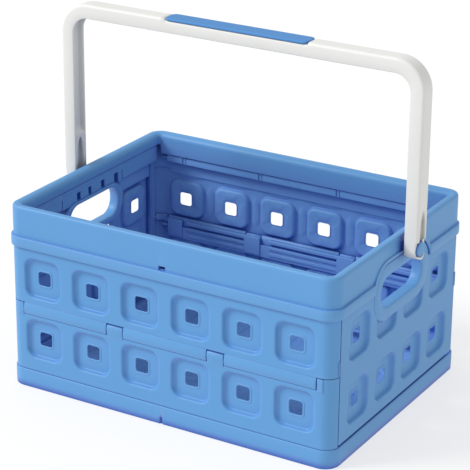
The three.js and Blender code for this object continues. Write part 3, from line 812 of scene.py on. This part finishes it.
# The middle line of half the U, from the rounded foot up the leg, round the bend and along the bar.
foot = np.linspace(-np.pi / 2 * 0.985, 0, 26)[:-1]
leg_z = np.concatenate(
    [pivot_z + leg_half * np.sin(foot), np.arange(pivot_z, 262, 0.7), np.linspace(266, bend_z, 30)]
)
curve = np.linspace(0, np.pi / 2, 33)[1:-1]
bar_x = np.concatenate([np.linspace(bend_x, INSERT_HALF + 1.2, 20), np.linspace(INSERT_HALF, 0, 40)])
centre_x = np.concatenate([np.full(len(leg_z), leg_out - half_thick), bend_x + bend_r * np.cos(curve), bar_x])
centre_z = np.concatenate([leg_z, bend_z + bend_r * np.sin(curve), np.full(len(bar_x), bar_top - half_thick)])
lean = np.concatenate([np.zeros(len(leg_z)), curve, np.full(len(bar_x), np.pi / 2)])
narrow = np.ones(len(lean))
narrow[: len(foot)] = np.cos(foot)
hollows = HOLLOW_DEPTH * (1 - np.clip((lean - 0.9) / 0.6, 0, 1)) * np.clip((centre_z - HOLLOW_FROM) / 5, 0, 1)
pockets = INSERT_POCKET * (np.abs(centre_x) < INSERT_HALF + 0.6) * (lean > 1.5)

top_y = np.linspace(-leg_half + ROUND, leg_half - ROUND, 45)
arc = np.linspace(0, np.pi / 2, 7)[1:-1]


def bail_section(hollow, dip):
    """(out, y) points of the bail's section, anticlockwise from the outer face: a rounded rectangle, the
    outer face pressed in by dip and the inner face by hollow between thin walls."""
    outer = np.column_stack([np.full(len(top_y), half_thick - dip), top_y])
    right = np.column_stack(
        [half_thick - dip - ROUND + ROUND * np.cos(arc), leg_half - ROUND + ROUND * np.sin(arc)]
    )
    inner, bottom = -half_thick, -half_thick + hollow + 0.3
    corner = np.array(
        [
            (half_thick - dip - ROUND, leg_half), (0.0, leg_half), (inner + 1.0, leg_half),
            (inner + 0.3, leg_half - 0.3), (inner, leg_half - 1.0), (inner, leg_half - 2.4),
            (inner + 0.3, leg_half - 2.8), (inner + 0.3 + hollow * 0.85, leg_half - 3.2),
            (bottom, leg_half - 4.2),
        ]
    )
    middle = np.column_stack([np.full(29, bottom), np.linspace(leg_half - 4.6, 4.6 - leg_half, 29)])
    return np.concatenate([outer, right, corner, middle, corner[::-1] * [1, -1], right[::-1] * [1, -1]])


def oval_half(z, middle, long, half):
    """Half width of an upright oval at height z: half * sqrt(1 - ((z - middle) / long) ** 2), or zero."""
    return half * math.sqrt(max(0.0, 1 - ((z - middle) / long) ** 2))


def leg_openings(out, y, z):
    """The section's out coordinates at height z on a leg, pressed in where the openings lie."""
    inner_reach = oval_half(z, INNER_Z, INNER_LONG, INNER_HALF) * (z > 196)
    on_inner_face = np.abs(out + half_thick - 0.3) < 0.05
    out = out + INNER_DEPTH * np.clip((inner_reach - np.abs(y)) / 1.0, 0, 1) * on_inner_face
    reach = oval_half(z, POINT_Z, POINT_LONG, POINT_HALF) * (z > POINT_Z)
    scoop = min(5.0, 0.25 * max(251.0 - z, 0.0) + 1.2) * np.clip((reach - np.abs(y)) / 1.0, 0, 1)
    step = STEP_DEPTH * np.clip((z - STEP_LOW) / 1.0, 0, 1) * np.clip((STEP_TOP - z) / 1.2, 0, 1)
    seat = SEAT_DEPTH * np.clip((SEAT_R - np.hypot(y, z - pivot_z)) / 0.5, 0, 1)
    press = np.maximum(np.maximum(scoop, step), seat)
    out = np.where(out > 0, np.minimum(out, half_thick - press * (out > half_thick - 6)), out)
    toe = max(0.0, pivot_z - leg_half + TOE_R - z)
    return np.maximum(out, -half_thick + TOE_R - math.sqrt(max(TOE_R**2 - toe * toe, 0.0)))


rings = []
for cx, cz, angle, thin, hollow, dip in zip(centre_x, centre_z, lean, narrow, hollows, pockets):
    flat = bail_section(hollow, dip)
    out, y = flat[:, 0], flat[:, 1] * thin
    if angle == 0:
        out = leg_openings(out, y, cz)
    rings.append(np.column_stack([cx + out * math.cos(angle), y, cz + out * math.sin(angle)]))
rings = np.array(rings)
other_half = rings[::-1][1:] * [-1, 1, 1]
bail = loft(np.concatenate([rings, other_half]))
make_piece("handle_bail_moulding", *bail, white, "handle", "white_handle", ["handle_bail"])

# ---------------------------------------------------------------- grip insert
# The soft grip let into the top of the bar, as wide as the bar, with rounded ends. Blue soft-touch
# elastomer, a rounded section carried along X whose width follows a rounded outline.

# Duller and fuller in colour than the hard plastic, with a grain of about 0.3 mm drawn at 1.1 mm to show.
# Between the walls and in creases it has painted shade, darker and fuller.
soft_blue = moulded("elastomer_blue_soft_touch", "4a86c2", "4a7cc4", "2f55a6", 0.55, 1.1, 0.08, 0.15)
insert_top = node_box("grip_insert")[1][2]
INSERT_LOW = bar_top - 2.6
INSERT_ROUND = 6
INSERT_EDGE = 1.3
END_DROP = 0.2
insert_half = leg_half - 0.15
ends = INSERT_HALF - INSERT_ROUND + INSERT_ROUND * np.sin(np.linspace(0, np.pi / 2, 13))
xs = np.concatenate([-ends[::-1], np.linspace(-80, 80, 33), ends])
into = np.clip(np.abs(xs) - (INSERT_HALF - INSERT_ROUND), 0, INSERT_ROUND)
half_widths = insert_half - INSERT_ROUND + np.sqrt(np.maximum(INSERT_ROUND**2 - into**2, 0.01))
rings = []
for x, half in zip(xs, half_widths):
    crown = insert_top - END_DROP * (abs(x) > INSERT_HALF - 1)
    flat = rounded_outline(2 * half, crown - INSERT_LOW, INSERT_EDGE, 10, 5)
    rings.append(np.column_stack([np.full(len(flat), x), flat[:, 0], flat[:, 1] + (crown + INSERT_LOW) / 2]))
make_piece("grip_insert_pad", *loft(rings), soft_blue, "handle", "blue_grip", ["grip_insert"])

# ---------------------------------------------------------------- hinge rods
# The eight pins through the hinges, pushed in from the ends and taken as they are in the CAD model. Blue
# moulded polypropylene, as the rest of the crate.

for name, obj in frame["nodes"].items():
    if name.endswith("hinge_rod"):
        obj.data.materials.clear()
        obj.data.materials.append(blue)

# ---------------------------------------------------------------- floor, light and camera
# A plain pale floor that is also lit from within, a soft white surround, one broad light from the upper
# front left, and a long lens from the front right, above the rim.

FLOOR_REACH = 30
SURROUND = 0.7
SENSOR_MM = 36
LENS_MM = 152.5
LENS_SHIFT = (0.0027, -0.0252)
CAMERA_AT = (1.066741, -1.821642, 1.018369)
CAMERA_RIGHT = (0.86028, 0.50976, 0.00822)
CAMERA_UP = (-0.19306, 0.31081, 0.93067)

paper = bpy.data.materials.new("paper_white_matt")
paper.use_nodes = True
paper_shader = paper.node_tree.nodes["Principled BSDF"]
paper_shader.inputs["Base Color"].default_value = linear("989898")
paper_shader.inputs["Emission Color"].default_value = linear("ffffff")
paper_shader.inputs["Emission Strength"].default_value = 0.64
paper_shader.inputs["Roughness"].default_value = 0.9
floor_mesh = bpy.data.meshes.new("floor")
floor_corners = [(x * FLOOR_REACH, y * FLOOR_REACH, 0) for x, y in ((-1, -1), (1, -1), (1, 1), (-1, 1))]
floor_mesh.from_pydata(floor_corners, [], [(0, 1, 2, 3)])
floor_mesh.materials.append(paper)
floor = bpy.data.objects.new("floor", floor_mesh)
bpy.context.scene.collection.objects.link(floor)

world = bpy.data.worlds.new("studio")
bpy.context.scene.world = world
world.use_nodes = True
world.node_tree.nodes["Background"].inputs["Color"].default_value = (1, 1, 1, 1)
world.node_tree.nodes["Background"].inputs["Strength"].default_value = SURROUND
bpy.context.scene.view_settings.view_transform = "Standard"

lamp = bpy.data.lights.new("key_light", "SUN")
lamp.energy = 2.2
lamp.angle = math.radians(22)
light = bpy.data.objects.new("key_light", lamp)
bpy.context.scene.collection.objects.link(light)
light.rotation_euler = Vector((0.61, 0.44, -0.65)).to_track_quat("-Z", "Y").to_euler()

camera_data = bpy.data.cameras.new("camera")
camera_data.lens = LENS_MM
camera_data.sensor_width = SENSOR_MM
camera_data.shift_x, camera_data.shift_y = LENS_SHIFT
camera_data.clip_end = 100
camera = bpy.data.objects.new("camera", camera_data)
bpy.context.scene.collection.objects.link(camera)
bpy.context.scene.camera = camera
right = Vector(CAMERA_RIGHT).normalized()
up = Vector(CAMERA_UP).normalized()
back = right.cross(up).normalized()
camera.matrix_world = Matrix((*zip(right, up, back, CAMERA_AT), (0, 0, 0, 1)))
